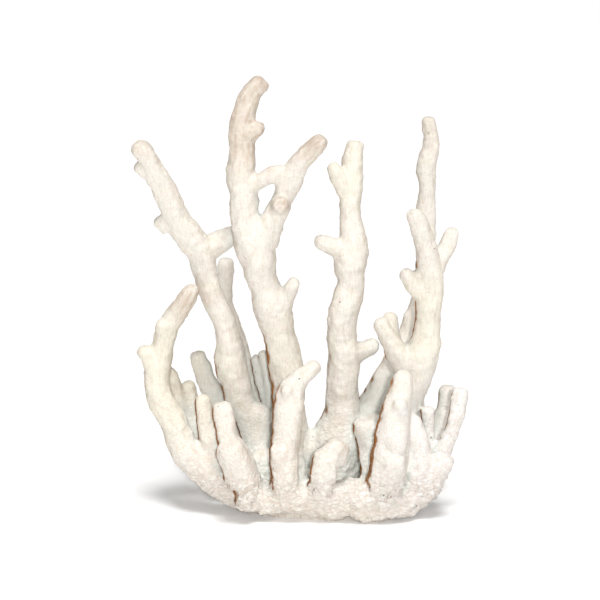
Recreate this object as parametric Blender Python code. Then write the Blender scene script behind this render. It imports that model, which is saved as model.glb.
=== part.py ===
"""A branching tube coral, cut off flat at its foot and standing on the cut.

Tall knobbly stems rise from a low clump of coral, and a ring of short blunt
fingers curls up around them. All of it grew as one piece. It is parted at its
main forks, with a hair's gap at each, so that every stem, branch and finger
is a solid of its own.

Each limb is a row of points from its root to its tip, in millimetres. The
first two numbers place a point as it shows in a front view that looks down
by VIEW_TILT: how far to the right, and how far up. The third is how far back
the point lies, and the fourth is how thick the limb is there, as a radius.
"""

import math

import bmesh
import bpy
import numpy as np
from mathutils import Quaternion, Vector
from mathutils.bvhtree import BVHTree

MM = 0.001

# The front view that the limbs are drawn in. The eye is VIEW_DISTANCE from
# the coral's middle, and it looks at the point that is AIM_UP up the view and
# AIM_HEIGHT above the floor.
VIEW_TILT = math.radians(14.0)
VIEW_DISTANCE = 1200.0
AIM_UP = 155.4
AIM_HEIGHT = 147.0

# The origin lies under the middle of the whole coral.
MIDDLE_RIGHT = 1.5
MIDDLE_BACK = 3.5

# Fineness of the fused surface, and the triangles that it is brought down to.
GRAIN = 2.0
SMOOTHING_ROUNDS = 4
TRIANGLES = 6500
SIDES = 5
STEPS_PER_SPAN = 4

# What fusing and softening take off a limb's thickness is added beforehand.
SWELL = 0.6

# Low lumps all over: how far apart, and how far from pit to crest.
LUMP_SIZE = 13.0
LUMP_RISE = 2.4

# The gap at a fork, and how far its cutting disc stands out past the limb.
FORK_GAP = 0.3
DISC_MARGIN = 1.5
DISC_CORNERS = 24

# A limb stands free where its outline stays within DISC_MARGIN past this
# many radii. Below LOWEST_FORK the limbs and the clump are one mass.
FREE_REACH = 1.2
LOWEST_FORK = 22.0

# A scrap that a cutting disc leaves behind has no more faces than this.
CRUMB_FACES = 8

# A tip bulges past its last point by TIP_BULGE radii. The lower its power,
# the squarer are the tip's shoulders.
TIP_BULGE = 0.95
TIP_TURNS = np.radians((30, 55, 72, 84))
ROUND_TIP = 1.0
BLUNT_TIP = 0.4

# Edges bent more than this are shaded sharp, such as those around a fork's cut.
SHARP_ANGLE = math.radians(50.0)

LEFT_STEM = (
    (-22, 34, 6, 11.0), (-30, 54, 6, 9.0), (-35, 68, 7, 8.6), (-41.5, 85, 8, 9.6),
    (-45, 98, 8, 10.2), (-48.5, 111, 9, 11.2), (-50, 127, 9, 9.0), (-53, 140, 9, 7.6),
    (-59, 153, 9, 7.9), (-64, 166, 8, 7.7), (-67, 178, 8, 8.4), (-70, 189, 8, 9.8),
    (-77, 199, 6, 9.8), (-85, 210, 3, 9.2), (-90, 220, 0, 8.2), (-95, 232, -3, 8.2),
    (-101, 244, -7, 7.7), (-106, 253, -10, 6.6), (-111, 261, -12, 7.0),
)
LEFT_STEM_KNOBS = (
    ((-105, 244, -6, 4.6), (-113, 248, -9, 4.0)),
    ((-92, 207, 4, 6.0), (-97, 210, 2, 4.8)),
    ((-52, 138, 12, 6.0), (-53, 148, 21, 4.8)),
    ((-88, 214, 4, 6.0), (-88, 220, 13, 4.4)),
)
LEFT_STEM_ARM = ((-68, 189, 9, 8.6), (-57, 195, 14, 7.8), (-50, 199.5, 20, 6.8), (-44, 202, 27, 5.6))

TALL_STEM = (
    (2, 36, 2, 13.0), (-4, 57, 1, 11.6), (-7.5, 78, 0, 11.0), (-8.5, 96, 0, 11.6),
    (-10.5, 110, 0, 12.2), (-12.5, 122, 0, 11.5), (-15, 131, 0, 11.1), (-17.5, 143, 0, 12.3),
    (-20.5, 153, 0, 12.6), (-24, 162, 0, 10.5), (-27.5, 173, 0, 11.0), (-29.5, 185, 0, 12.8),
    (-34, 199, 0, 12.8), (-38.8, 215, 0, 9.4), (-39.4, 229, 0, 9.8), (-41, 243, 1, 10.0),
    (-41, 260, 2, 8.5), (-41, 276, 4, 8.5), (-39, 287, 5, 7.5), (-35.5, 297, 6, 7.2),
    (-29.5, 305.5, 7, 6.3),
)
TALL_STEM_KNOBS = (
    ((-35, 273, 2, 6.8), (-29, 275.5, 0, 4.6)),
    ((-31, 303, 7, 5.6), (-25.5, 305, 7, 4.2)),
    ((-13, 149, 0, 7.0), (-7.5, 161, -4, 5.0), (-4.5, 167, -6, 4.2)),
    ((-30, 185, 4, 7.0), (-29, 192, 16, 5.4)),
    ((-41, 258, 5, 6.0), (-40.5, 264, 13, 4.6)),
)
TALL_STEM_BRIDGE = ((-38, 235, 0, 7.0), (-27, 239.5, -4, 5.4), (-19, 243.5, -6, 5.6),
                    (-14.5, 245.5, -6, 4.9))
RIGHT_BRANCH = (
    (-25.5, 197, -1, 10.4), (-20.5, 208, -2, 8.4), (-16.5, 217, -3, 7.4), (-12, 226, -4, 7.4),
    (-7.5, 238, -5, 8.2), (-2, 248, -7, 7.3), (4.5, 256.5, -9, 6.5), (13, 265.5, -11, 6.1),
)
RIGHT_BRANCH_KNOB = ((-14, 221, -5, 6.8), (-14, 222, -18, 6.0))

CENTRE_STEM = (
    (24, 36, 4, 21.0), (26.5, 57, 4, 18.5), (29, 71, 4, 14.2), (29.6, 80, 4, 12.0), (29.5, 89, 4, 11.0),
    (30, 103, 4, 11.1), (31, 117, 4, 10.8), (29, 127, 4, 9.7), (29, 138, 4, 9.8),
    (31, 148, 4, 10.2), (34, 159, 5, 10.0), (36, 169, 6, 9.1), (35, 180, 7, 11.2),
    (37, 190, 8, 10.2), (37, 201, 9, 9.1), (35.3, 213, 10, 7.4), (35, 225, 11, 6.9),
    (36, 234, 12, 7.4), (36.5, 246, 14, 7.0), (37, 255, 15, 6.8), (38, 261, 16, 6.0),
)
CENTRE_STEM_KNOBS = (
    ((32, 232, 11, 6.3), (26, 243.5, 8, 5.1), (23.5, 247.5, 7, 4.1)),
    ((32, 189, 8, 7.0), (22, 193, 5, 6.3), (15, 196.5, 3, 5.0)),
    ((34, 119, 4, 7.7), (43, 120, 8, 6.8), (50.5, 123.5, 12, 5.3)),
    ((30, 108, 8, 7.5), (30, 119, 20, 5.5)),
    ((36, 200, 12, 6.5), (36, 209, 21, 4.8)),
)

RIGHT_STEM = (
    (62, 50, -4, 12.6), (71, 75, -6, 12.2), (76, 92, -7, 12.0), (82, 108, -8, 12.4),
    (87.5, 124, -8, 10.8), (89, 138, -8, 8.8), (90, 152, -8, 9.1), (91, 162, -8, 9.1),
    (91, 173, -9, 9.2), (89.5, 182, -11, 8.4), (88, 192, -14, 7.2), (85.5, 201, -17, 7.0),
    (82.5, 210, -20, 6.4), (80.3, 214, -22, 5.8),
)
RIGHT_STEM_KNOBS = (
    ((85, 162, -9, 7.0), (79, 168, -12, 6.3), (74.5, 173.5, -14, 4.8)),
    ((89, 140, -4, 6.5), (89, 150, 8, 5.2)),
)
RIGHT_STEM_ARM = ((95, 178, -7, 7.0), (100, 187, -4, 6.0), (104.5, 196, -2, 5.6), (106, 201.5, -1, 5.3))
LOW_BRANCH = ((78, 106, -8, 10.5), (70, 115, -9, 9.1), (64, 125, -12, 6.7), (59, 134, -15, 5.8),
              (57, 138, -16, 5.4))
LOW_BRANCH_TWIN = ((65, 125, -9, 5.6), (64, 134, -2, 5.1), (63, 142, 2, 4.9))

BACK_RIGHT_STEM = (
    (32, 40, 14, 14.0), (41, 64, 20, 12.6), (52, 85, 24, 9.8), (60, 101, 27, 8.4),
    (67.5, 115, 30, 8.0), (75, 130, 33, 7.0), (80.5, 145, 37, 6.8), (86, 160, 41, 6.8),
    (88, 183, 46, 6.6), (88, 201, 49, 6.3), (88, 220, 52, 6.3), (89, 232, 53, 5.6),
    (88.5, 248, 54, 6.9), (91.5, 264, 55, 5.6), (89.8, 279, 55, 4.6),
)
BACK_RIGHT_STEM_KNOBS = (
    ((62, 104, 30, 6.0), (63, 112, 41, 4.6)),
    ((88, 196, 52, 5.2), (88, 203, 62, 4.2)),
)
BACK_LEFT_STEM = (
    (-14, 36, 20, 9.8), (-27, 57, 30, 8.2), (-35, 85, 38, 7.0), (-40, 106, 41, 7.0),
    (-43, 122, 42, 6.6), (-48.5, 140, 42, 6.0), (-52.5, 155, 42, 5.2), (-53, 166, 41, 5.4),
    (-52, 180, 40, 5.4),
)
BACK_LEFT_STEM_KNOB = ((-42, 116, 44, 5.0), (-43, 122, 52, 4.0))

FAR_LEFT_FINGER = (
    (-31, 17, -28, 11.9), (-50, 25, -28, 11.6), (-67, 37, -26, 11.2), (-80, 49, -22, 10.6),
    (-86.5, 66, -17, 9.3), (-97, 84, -13, 9.2), (-100, 98, -10, 8.6), (-99, 110, -8, 8.7),
    (-95.7, 124, -8, 7.6), (-92.5, 137, -9, 7.2), (-86.5, 146, -11, 7.2), (-80, 155.5, -13, 6.2),
    (-76, 161.5, -14, 5.2),
)
FAR_LEFT_FINGER_KNOBS = (
    ((-103, 116, -9, 5.6), (-108, 119, -11, 5.4)),
    ((-103, 108, -9, 5.6), (-105.5, 114, -10, 5.0)),
    ((-95, 135, -10, 6.4), (-95.5, 138, -13, 5.0)),
)
SECOND_FINGER = ((-43, 22, -28, 8.4), (-56, 40, -26, 7.0), (-63, 57, -22, 6.8), (-66, 71, -19, 6.2),
                 (-68, 84, -16, 5.2))
THIRD_FINGER = (
    (-30, 14, -38, 9.4), (-35, 22, -42, 10.4), (-40, 33, -43, 11.2), (-45.5, 47, -43, 10.6),
    (-50.5, 58, -42, 7.9), (-52, 67, -40, 7.4), (-54, 76.5, -38, 7.4),
)
THIRD_FINGER_KNOBS = (
    ((-40, 28, -46, 11.2), (-47.5, 47, -50.5, 10.6)),
    ((-38, 14, -42, 8.0), (-38, 18, -50, 7.0)),
)
FOURTH_FINGER = (
    (-6, 14, -38, 9.1), (-9, 21, -43, 10.2), (-11, 33, -46, 10.0), (-11, 50, -45, 9.8),
    (-9.5, 64, -44, 10.3), (-8, 78, -42, 10.6), (-6, 92, -40, 8.7), (1.5, 101.5, -37, 6.5),
    (9.5, 108, -34, 5.1),
)
FOURTH_FINGER_KNOBS = (
    ((-12, 42, -46, 7.0), (-14.5, 48, -52, 6.0)),
    ((-7, 90, -42, 5.0), (-9, 92, -48, 3.5)),
    ((0, 30, -38, 5.6), (-1.5, 47, -38, 4.4), (-2, 61, -38, 4.3)),
)
FIFTH_FINGER = ((15, 13, -42, 9.1), (15, 24, -47, 9.3), (16.5, 35, -48, 9.6), (18.5, 43, -48, 9.2),
                (24.5, 51.5, -47, 6.4))
FIFTH_FINGER_KNOBS = (
    ((16, 36, -48, 6.8), (16, 42, -52, 5.6)),
    ((25, 42, -46, 6.0), (29.5, 50.5, -45, 4.8)),
)
SIXTH_FINGER = ((50, 18, -31, 8.0), (49.5, 36, -26, 7.0), (48, 50, -23, 7.5), (46.5, 60, -22, 8.4),
                (46, 64, -22, 8.4))
SEVENTH_FINGER = (
    (56, 14, -42, 11.5), (58.5, 27, -46, 12.6), (62, 40, -47, 12.9), (64, 54, -46, 12.6),
    (66.5, 74, -43, 10.6), (70, 89, -40, 8.4), (71.5, 100.5, -38, 6.3),
)
SEVENTH_FINGER_KNOBS = (
    ((69, 82, -42, 6.0), (69.5, 81.5, -49.5, 5.0)),
    ((64, 57, -46, 9.5), (67, 55.5, -54, 7.8)),
    ((64, 43, -48, 9.5), (65, 42, -55, 8.4)),
)
EIGHTH_FINGER = ((76, 14, -36, 9.0), (80, 24, -38, 8.6), (83.5, 40, -38, 8.4), (83, 55, -37, 7.8),
                 (79.5, 66, -37, 6.6), (76.5, 73, -37, 5.0))
NINTH_FINGER = ((84, 36, -24, 6.0), (89.5, 50, -20, 5.0), (90, 64, -18, 4.6), (89.5, 76, -18, 4.4))
TENTH_FINGER = ((88, 28, -27, 8.4), (100, 50, -24, 6.0), (106.3, 64, -22, 5.2), (110.5, 78, -20, 5.9),
                (112, 88.5, -18, 5.5))
ELEVENTH_FINGER = ((68, 16, -34, 9.5), (78, 17.5, -36, 9.0), (86.5, 23, -37, 8.6), (93.5, 31, -38, 8.2),
                   (99.5, 41, -39, 7.8))

LEFT_BACK_FINGER = ((-31, 36, 12, 10.0), (-44, 57, 21, 8.6), (-55, 78, 27, 7.4), (-62, 93, 29, 6.5),
                    (-67, 103, 30, 6.5), (-70.5, 113.5, 30, 6.2))
LOW_LEFT_BACK_FINGER = ((-49, 33, -4, 8.4), (-63, 50, 0, 7.7), (-72.5, 68, 4, 7.0), (-77, 82, 6, 6.5),
                        (-78, 94, 7, 5.3))
THIN_BACK_FINGER = ((-16, 57, 17, 6.0), (-23, 85, 23, 4.6), (-28, 99, 25, 4.0), (-31, 114, 26, 3.5))
THIN_BACK_FINGER_TWIN = ((-18, 70, 20, 5.0), (-22, 98, 21, 3.8), (-25.5, 117, 22, 3.1))
RIGHT_BACK_FINGER = ((84, 40, 0, 7.7), (96, 63, 8, 6.3), (101, 78, 12, 5.6), (103, 89.5, 14, 6.2))
LEFT_SHOULDER = ((-78, 60, 4, 9.5), (-83, 74, 4, 9.0), (-86, 86, 1, 7.0), (-89, 96, -2, 5.2),
                 (-90.5, 104, -4, 3.6))

REAR_FINGERS = {
    "rear_finger_1": ((-34, 38, 32, 10.0), (-50, 50, 42, 8.8), (-60, 63, 46, 7.6), (-64, 74, 48, 6.8),
                      (-63, 83, 50, 5.2)),
    "rear_finger_2": ((-16, 40, 38, 10.5), (-26, 58, 52, 8.0), (-29, 76, 58, 7.0), (-31, 90, 60, 6.4),
                      (-26, 101, 61, 5.2)),
    "rear_finger_3": ((-4, 42, 40, 10.5), (-6, 66, 50, 9.2), (-9, 86, 52, 8.4), (-7, 104, 56, 7.2),
                      (-10, 116, 57, 5.8)),
    "rear_finger_4": ((30, 44, 36, 11.5), (33, 74, 47, 9.8), (30, 96, 50, 9.4), (29, 116, 54, 7.2),
                      (34, 130, 57, 5.8)),
    "rear_finger_5": ((46, 38, 34, 10.5), (54, 56, 47, 9.6), (57, 70, 50, 8.2), (54, 82, 53, 6.4)),
    "rear_finger_6": ((60, 34, 24, 10.5), (72, 52, 36, 9.4), (77, 70, 42, 7.8), (79, 84, 44, 7.2),
                      (76, 94, 46, 5.6)),
    "rear_finger_7": ((72, 30, 10, 10.0), (90, 42, 20, 8.4), (97, 54, 25, 6.6)),
}
SHORT_REAR_FINGER = ((15, 30, 42, 9.4), (16, 40, 54, 8.2), (14, 48, 59, 7.4), (13, 56, 61, 5.8))
REAR_KNOBS = (
    ((-59, 60, 44, 6.5), (-56, 64, 53, 5.0)),
    ((-8, 92, 54, 6.2), (-13, 98, 61, 4.6)),
    ((31, 86, 50, 7.0), (36, 92, 58, 5.2)),
    ((77, 74, 42, 6.2), (83, 79, 47, 4.8)),
)

# The clump that the limbs grow from: its middle, and its half width, half
# depth and height, then the rounded lumps along its rim and its heart.
CLUMP_MIDDLE = (14.0, 2.0)
CLUMP_SPREAD = (66.0, 46.0, 17.0)
FRONT_RIM = (
    (-48, 24, -18, 9.0), (-38, 18, -28, 10.0), (-28, 15.5, -31, 8.5), (-15, 14, -33, 10.5),
    (-5, 14.5, -33, 8.5), (4, 13.5, -34, 10.5), (12, 14.5, -36, 8.5), (23, 11, -40, 10.8),
    (33, 14, -38, 9.5), (43, 12, -41, 12.0), (54, 13, -42, 12.6), (64, 14, -41, 11.5),
    (74, 15, -38, 11.0), (84, 19, -29, 9.0), (91, 26, -18, 8.5),
)
BACK_RIM = (
    (-44, 26, 8, 9.0), (-34, 30, 23, 10.0), (-20, 31, 35, 9.0), (-4, 33, 41, 11.0),
    (10, 31, 44, 9.5), (24, 33, 44, 11.5), (38, 32, 42, 9.5), (54, 31, 37, 11.0),
    (68, 29, 28, 9.5), (80, 28, 14, 10.0), (88, 25, 0, 9.0),
)
CLUMP_LUMPS = (
    ((24, 20, 4, 24.0), (22, 50, 6, 20.0)),
    ((-8, 20, 6, 18.0), (-2, 48, 6, 15.0)),
    ((50, 20, 6, 20.0), (44, 46, 8, 15.0)),
    ((-10, 24, 26, 16.0), (-4, 44, 30, 12.0)),
    ((24, 26, 30, 18.0), (22, 46, 32, 13.0)),
    ((52, 24, 24, 16.0), (46, 42, 26, 12.0)),
    ((-27, 18, -17, 12.0), (-26, 41, -11, 11.0)),
    ((52, 40, 0, 13.0), (50, 66, 1, 10.5)),
    ((-28, 17, -39, 12.0), (-22, 17, -39, 11.5)),
    ((-30, 46, 5, 11.5), (-29, 75, 7, 9.5)),
    ((10, 46, 4, 10.0), (10.5, 57.5, 3, 8.0)),
    ((-3, 18, -40, 11.5), (5, 19, -41, 11.0)),
    ((18, 16, -40, 11.0), (27, 17, -42, 11.5), (36, 18, -43, 12.0), (48, 17, -44, 12.5)),
)

WHITE_CORAL = (0.86, 0.82, 0.76)

# Every limb that is parted from what it grows from: its points, the knobs
# and side shoots that stay on it, and the power of its tip.
LIMBS = {
    "left_stem": (LEFT_STEM, LEFT_STEM_KNOBS, ROUND_TIP),
    "left_stem_arm": (LEFT_STEM_ARM, (), ROUND_TIP),
    "tall_stem": (TALL_STEM, TALL_STEM_KNOBS, ROUND_TIP),
    "tall_stem_right_branch": (RIGHT_BRANCH, (RIGHT_BRANCH_KNOB,), ROUND_TIP),
    "centre_stem": (CENTRE_STEM, CENTRE_STEM_KNOBS, BLUNT_TIP),
    "right_stem": (RIGHT_STEM, RIGHT_STEM_KNOBS, ROUND_TIP),
    "right_stem_arm": (RIGHT_STEM_ARM, (), ROUND_TIP),
    "right_stem_low_branch": (LOW_BRANCH, (LOW_BRANCH_TWIN,), ROUND_TIP),
    "back_right_stem": (BACK_RIGHT_STEM, BACK_RIGHT_STEM_KNOBS, BLUNT_TIP),
    "back_left_stem": (BACK_LEFT_STEM, (BACK_LEFT_STEM_KNOB,), BLUNT_TIP),
    "front_finger_1": (FAR_LEFT_FINGER, FAR_LEFT_FINGER_KNOBS, ROUND_TIP),
    "front_finger_2": (SECOND_FINGER, (), ROUND_TIP),
    "front_finger_3": (THIRD_FINGER, THIRD_FINGER_KNOBS, BLUNT_TIP),
    "front_finger_4": (FOURTH_FINGER, FOURTH_FINGER_KNOBS, ROUND_TIP),
    "front_finger_5": (FIFTH_FINGER, FIFTH_FINGER_KNOBS, BLUNT_TIP),
    "front_finger_6": (SIXTH_FINGER, (), BLUNT_TIP),
    "front_finger_7": (SEVENTH_FINGER, SEVENTH_FINGER_KNOBS, ROUND_TIP),
    "front_finger_8": (TENTH_FINGER, (), BLUNT_TIP),
    "back_finger_1": (LEFT_BACK_FINGER, (), BLUNT_TIP),
    "back_finger_2": (RIGHT_BACK_FINGER, (), BLUNT_TIP),
}
LIMBS.update({name: (points, (), ROUND_TIP) for name, points in REAR_FINGERS.items()})

# Stubs that stay on the clump.
CLUMP_STUBS = (
    (LOW_LEFT_BACK_FINGER, ROUND_TIP),
    (LEFT_SHOULDER, ROUND_TIP),
    (EIGHTH_FINGER, ROUND_TIP),
    (NINTH_FINGER, BLUNT_TIP),
    (ELEVENTH_FINGER, BLUNT_TIP),
    (SHORT_REAR_FINGER, ROUND_TIP),
    (THIN_BACK_FINGER, ROUND_TIP),
    (THIN_BACK_FINGER_TWIN, ROUND_TIP),
)


def placed(right, up, back):
    """World place of a point of the front view, in millimetres."""
    lift = up - AIM_UP
    eye_back = -VIEW_DISTANCE * math.cos(VIEW_TILT)
    eye_height = AIM_HEIGHT + VIEW_DISTANCE * math.sin(VIEW_TILT)
    sight = Vector((right, lift * math.sin(VIEW_TILT) - eye_back,
                    lift * math.cos(VIEW_TILT) - VIEW_DISTANCE * math.sin(VIEW_TILT)))
    along = (back - eye_back) / sight.y
    place = Vector((0.0, eye_back, eye_height)) + along * sight
    return place - Vector((MIDDLE_RIGHT, MIDDLE_BACK, 0.0)), along


def limb_path(points):
    """Smooth row of (x, y, z, radius) through a limb's points, in millimetres."""
    world = []
    for right, up, back, radius in points:
        place, along = placed(right, up, back)
        world.append((*place, radius * along))
    world = np.array(world)
    world = np.vstack([2 * world[0] - world[1], world, 2 * world[-1] - world[-2]])
    path = []
    for before, start, end, after in zip(world, world[1:], world[2:], world[3:]):
        for t in np.arange(STEPS_PER_SPAN) / STEPS_PER_SPAN:
            path.append(0.5 * (2 * start + (end - before) * t
                               + (2 * before - 5 * start + 4 * end - after) * t ** 2
                               + (3 * start - before - 3 * end + after) * t ** 3))
    path.append(world[-2])
    return np.array(path)


def with_tip(path, power):
    """The path with an end that bulges past its last point."""
    tip = path[-1]
    way = tip[:3] - path[-2][:3]
    way /= np.linalg.norm(way)
    rings = []
    for turn in TIP_TURNS:
        place = tip[:3] + way * tip[3] * TIP_BULGE * math.sin(turn)
        rings.append((*place, tip[3] * math.cos(turn) ** power))
    return np.vstack([path, rings])


def add_limbs():
    """One mesh of overlapping tubes, one tube for each limb, knob and stub."""
    shapes = []
    for points, knobs, power in LIMBS.values():
        shapes.append((points, power))
        shapes.extend((knob, ROUND_TIP) for knob in knobs)
    shapes.append((TALL_STEM_BRIDGE, ROUND_TIP))
    shapes.append((FRONT_RIM, ROUND_TIP))
    shapes.append((BACK_RIM, ROUND_TIP))
    shapes.extend(CLUMP_STUBS)
    shapes.extend((knob, ROUND_TIP) for knob in REAR_KNOBS)
    shapes.extend((lump, ROUND_TIP) for lump in CLUMP_LUMPS)

    curve = bpy.data.curves.new("limbs", "CURVE")
    curve.dimensions = "3D"
    curve.twist_mode = "MINIMUM"
    curve.bevel_depth = 1.0
    curve.bevel_resolution = SIDES
    curve.use_fill_caps = True
    for points, power in shapes:
        path = limb_path(points)
        path[:, 3] += SWELL
        path = with_tip(path, power) * MM
        spline = curve.splines.new("POLY")
        spline.points.add(len(path) - 1)
        for point, (x, y, z, radius) in zip(spline.points, path):
            point.co = (x, y, z, 1.0)
            point.radius = radius
    limbs = bpy.data.objects.new("limbs", curve)
    bpy.context.scene.collection.objects.link(limbs)
    return limbs


def mesh_of(thing):
    """The mesh of an object with its modifiers applied; the object is removed."""
    depsgraph = bpy.context.evaluated_depsgraph_get()
    mesh = bpy.data.meshes.new_from_object(thing.evaluated_get(depsgraph))
    bpy.data.objects.remove(thing)
    return mesh


def fused_coral():
    """The whole coral as one closed mesh, flat at the floor."""
    mesh = mesh_of(add_limbs())
    work = bmesh.new()
    work.from_mesh(mesh)
    middle, _ = placed(CLUMP_MIDDLE[0], 0.0, CLUMP_MIDDLE[1])
    spread = Vector(CLUMP_SPREAD) * MM
    clump = bmesh.ops.create_icosphere(work, subdivisions=4, radius=1.0)["verts"]
    for vertex in clump:
        vertex.co = Vector((middle.x * MM + vertex.co.x * spread.x,
                            middle.y * MM + vertex.co.y * spread.y,
                            vertex.co.z * spread.z))
    work.to_mesh(mesh)
    work.free()

    coral = bpy.data.objects.new("coral", mesh)
    bpy.context.scene.collection.objects.link(coral)
    fuse = coral.modifiers.new("fuse", "REMESH")
    fuse.mode = "VOXEL"
    fuse.voxel_size = GRAIN * MM
    soften = coral.modifiers.new("soften", "SMOOTH")
    soften.iterations = SMOOTHING_ROUNDS
    lumps = bpy.data.textures.new("lumps", "CLOUDS")
    lumps.noise_scale = LUMP_SIZE * MM
    lumps.noise_depth = 1
    swell = coral.modifiers.new("lumps", "DISPLACE")
    swell.texture = lumps
    swell.texture_coords = "LOCAL"
    swell.strength = LUMP_RISE * MM
    swell.mid_level = 0.5
    mesh = mesh_of(coral)

    trim(mesh, -GRAIN * MM)
    coral = bpy.data.objects.new("coral", mesh)
    bpy.context.scene.collection.objects.link(coral)
    facets = coral.modifiers.new("facets", "DECIMATE")
    facets.ratio = TRIANGLES / sum(len(face.vertices) - 2 for face in mesh.polygons)
    facets.use_collapse_triangulate = True
    mesh = mesh_of(coral)
    trim(mesh, 0.0)
    return mesh


def trim(mesh, floor):
    """Cut the mesh off flat at a height and close the cut."""
    work = bmesh.new()
    work.from_mesh(mesh)
    everything = work.verts[:] + work.edges[:] + work.faces[:]
    bmesh.ops.bisect_plane(work, geom=everything, plane_co=(0, 0, floor), plane_no=(0, 0, -1),
                           clear_outer=True)
    bmesh.ops.holes_fill(work, edges=[edge for edge in work.edges if edge.is_boundary])
    work.to_mesh(mesh)
    work.free()


class Coral:
    """The fused mesh, with the edges that the forks found so far cut through."""

    def __init__(self, mesh):
        self.surface = BVHTree.FromPolygons([vertex.co for vertex in mesh.vertices],
                                            [face.vertices for face in mesh.polygons])
        self.places = np.array([vertex.co for vertex in mesh.vertices])
        self.edges = np.array([edge.vertices for edge in mesh.edges])
        self.edges_at = [[] for _ in self.places]
        for number, (one, other) in enumerate(self.edges):
            self.edges_at[one].append((number, other))
            self.edges_at[other].append((number, one))
        self.cut = np.zeros(len(self.edges), bool)

    def crossed(self, place, way, reach):
        """The edges that pass through a disc."""
        height = (self.places - place) @ way
        low, high = height[self.edges[:, 0]], height[self.edges[:, 1]]
        passes = low * high < 0.0
        share = np.where(passes, low / np.where(passes, low - high, 1.0), 0.0)
        start, end = self.places[self.edges[:, 0]], self.places[self.edges[:, 1]]
        through = start + (end - start) * share[:, None]
        return passes & (np.linalg.norm(through - place, axis=1) < reach)

    def holds(self, tip, cut):
        """Whether the surface runs from the tip to the foot without passing a cut."""
        start = int(np.argmin(np.linalg.norm(self.places - tip, axis=1)))
        seen = {start}
        front = [start]
        while front:
            vertex = front.pop()
            if self.places[vertex][2] < LOWEST_FORK * MM / 2:
                return True
            for edge, other in self.edges_at[vertex]:
                if other not in seen and not cut[edge]:
                    seen.add(other)
                    front.append(other)
        return False

    def fork(self, path, parts=True):
        """The lowest station where a limb stands free and a cut parts it from the rest.

        It gives the station, the way that the limb goes there, and its
        outline. A bridge between two limbs only has to stand free.
        """
        for station in range(1, len(path) - 1):
            place = Vector(path[station][:3]) * MM
            if path[station][2] < LOWEST_FORK:
                continue
            way = Vector(path[station + 1][:3] - path[station - 1][:3]).normalized()
            across = way.orthogonal().normalized()
            rays = [Quaternion(way, math.tau * k / DISC_CORNERS) @ across
                    for k in range(DISC_CORNERS)]
            reaches = [self.surface.ray_cast(place, ray)[3] or math.inf for ray in rays]
            if max(reaches) > (FREE_REACH * path[station][3] + DISC_MARGIN) * MM:
                continue
            reach = max(reaches) + DISC_MARGIN * MM
            cut = self.cut | self.crossed(np.array(place), np.array(way), reach)
            if parts and self.holds(path[-1][:3] * MM, cut):
                continue
            self.cut = cut
            outline = [place + ray * (reach + DISC_MARGIN * MM) for ray, reach in zip(rays, reaches)]
            return station, way, outline
        raise ValueError(f"the limb that ends at {path[-1]} is nowhere free of its neighbours")


def add_fork_cutter(name, way, outline):
    """A thin plate across a limb, a little larger than the limb's outline."""
    half_gap = way * FORK_GAP * MM / 2
    work = bmesh.new()
    lower = [work.verts.new(corner - half_gap) for corner in outline]
    upper = [work.verts.new(corner + half_gap) for corner in outline]
    work.faces.new(lower[::-1])
    work.faces.new(upper)
    for k in range(len(outline)):
        work.faces.new((lower[k - 1], lower[k], upper[k], upper[k - 1]))
    mesh = bpy.data.meshes.new(name)
    work.to_mesh(mesh)
    work.free()
    cutter = bpy.data.objects.new(name, mesh)
    cutter.hide_render = True
    cutter.display_type = "WIRE"
    bpy.context.scene.collection.objects.link(cutter)
    return cutter


def parted(mesh):
    """The coral parted at its forks.

    It gives the parted mesh, a set of faces for each piece, and a point
    inside each limb just past its fork.
    """
    fused = Coral(mesh)
    bridge = limb_path(TALL_STEM_BRIDGE)
    forks = {"tall_stem_bridge": fused.fork(bridge, parts=False)}
    probes = {}
    for name, (points, _, _) in LIMBS.items():
        path = limb_path(points)
        forks[name] = fused.fork(path)
        probes[name] = Vector(path[forks[name][0] + 1][:3]) * MM

    coral = bpy.data.objects.new("coral", mesh)
    bpy.context.scene.collection.objects.link(coral)
    cutters = []
    for name, (_, way, outline) in forks.items():
        cutters.append(add_fork_cutter(name + "_fork", way, outline))
        part = coral.modifiers.new(name, "BOOLEAN")
        part.operation = "DIFFERENCE"
        part.solver = "EXACT"
        part.object = cutters[-1]
    mesh = mesh_of(coral)
    for cutter in cutters:
        bpy.data.objects.remove(cutter)

    work = bmesh.new()
    work.from_mesh(mesh)
    pieces = []
    left = set(work.faces)
    while left:
        front = [left.pop()]
        piece = set(front)
        while front:
            face = front.pop()
            for edge in face.edges:
                for other in edge.link_faces:
                    if other in left:
                        left.discard(other)
                        piece.add(other)
                        front.append(other)
        if len(piece) > CRUMB_FACES:
            pieces.append(piece)
    return work, pieces, probes


def piece_mesh(name, piece):
    """A mesh of its own for one piece's faces."""
    faces = sorted(piece, key=lambda face: face.index)
    vertices = {}
    for face in faces:
        for vertex in face.verts:
            vertices.setdefault(vertex, len(vertices))
    mesh = bpy.data.meshes.new(name)
    mesh.from_pydata([vertex.co for vertex in vertices], [],
                     [[vertices[vertex] for vertex in face.verts] for face in faces])
    mesh.shade_smooth()
    mesh.set_sharp_from_angle(angle=SHARP_ANGLE)
    return mesh


def coral_material(name):
    """Dry white coral: warm ivory and dull."""
    material = bpy.data.materials.new(name)
    material.use_nodes = True
    shader = material.node_tree.nodes["Principled BSDF"]
    shader.inputs["Base Color"].default_value = (*WHITE_CORAL, 1.0)
    shader.inputs["Roughness"].default_value = 0.85
    shader.inputs["Metallic"].default_value = 0.0
    return material


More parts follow.
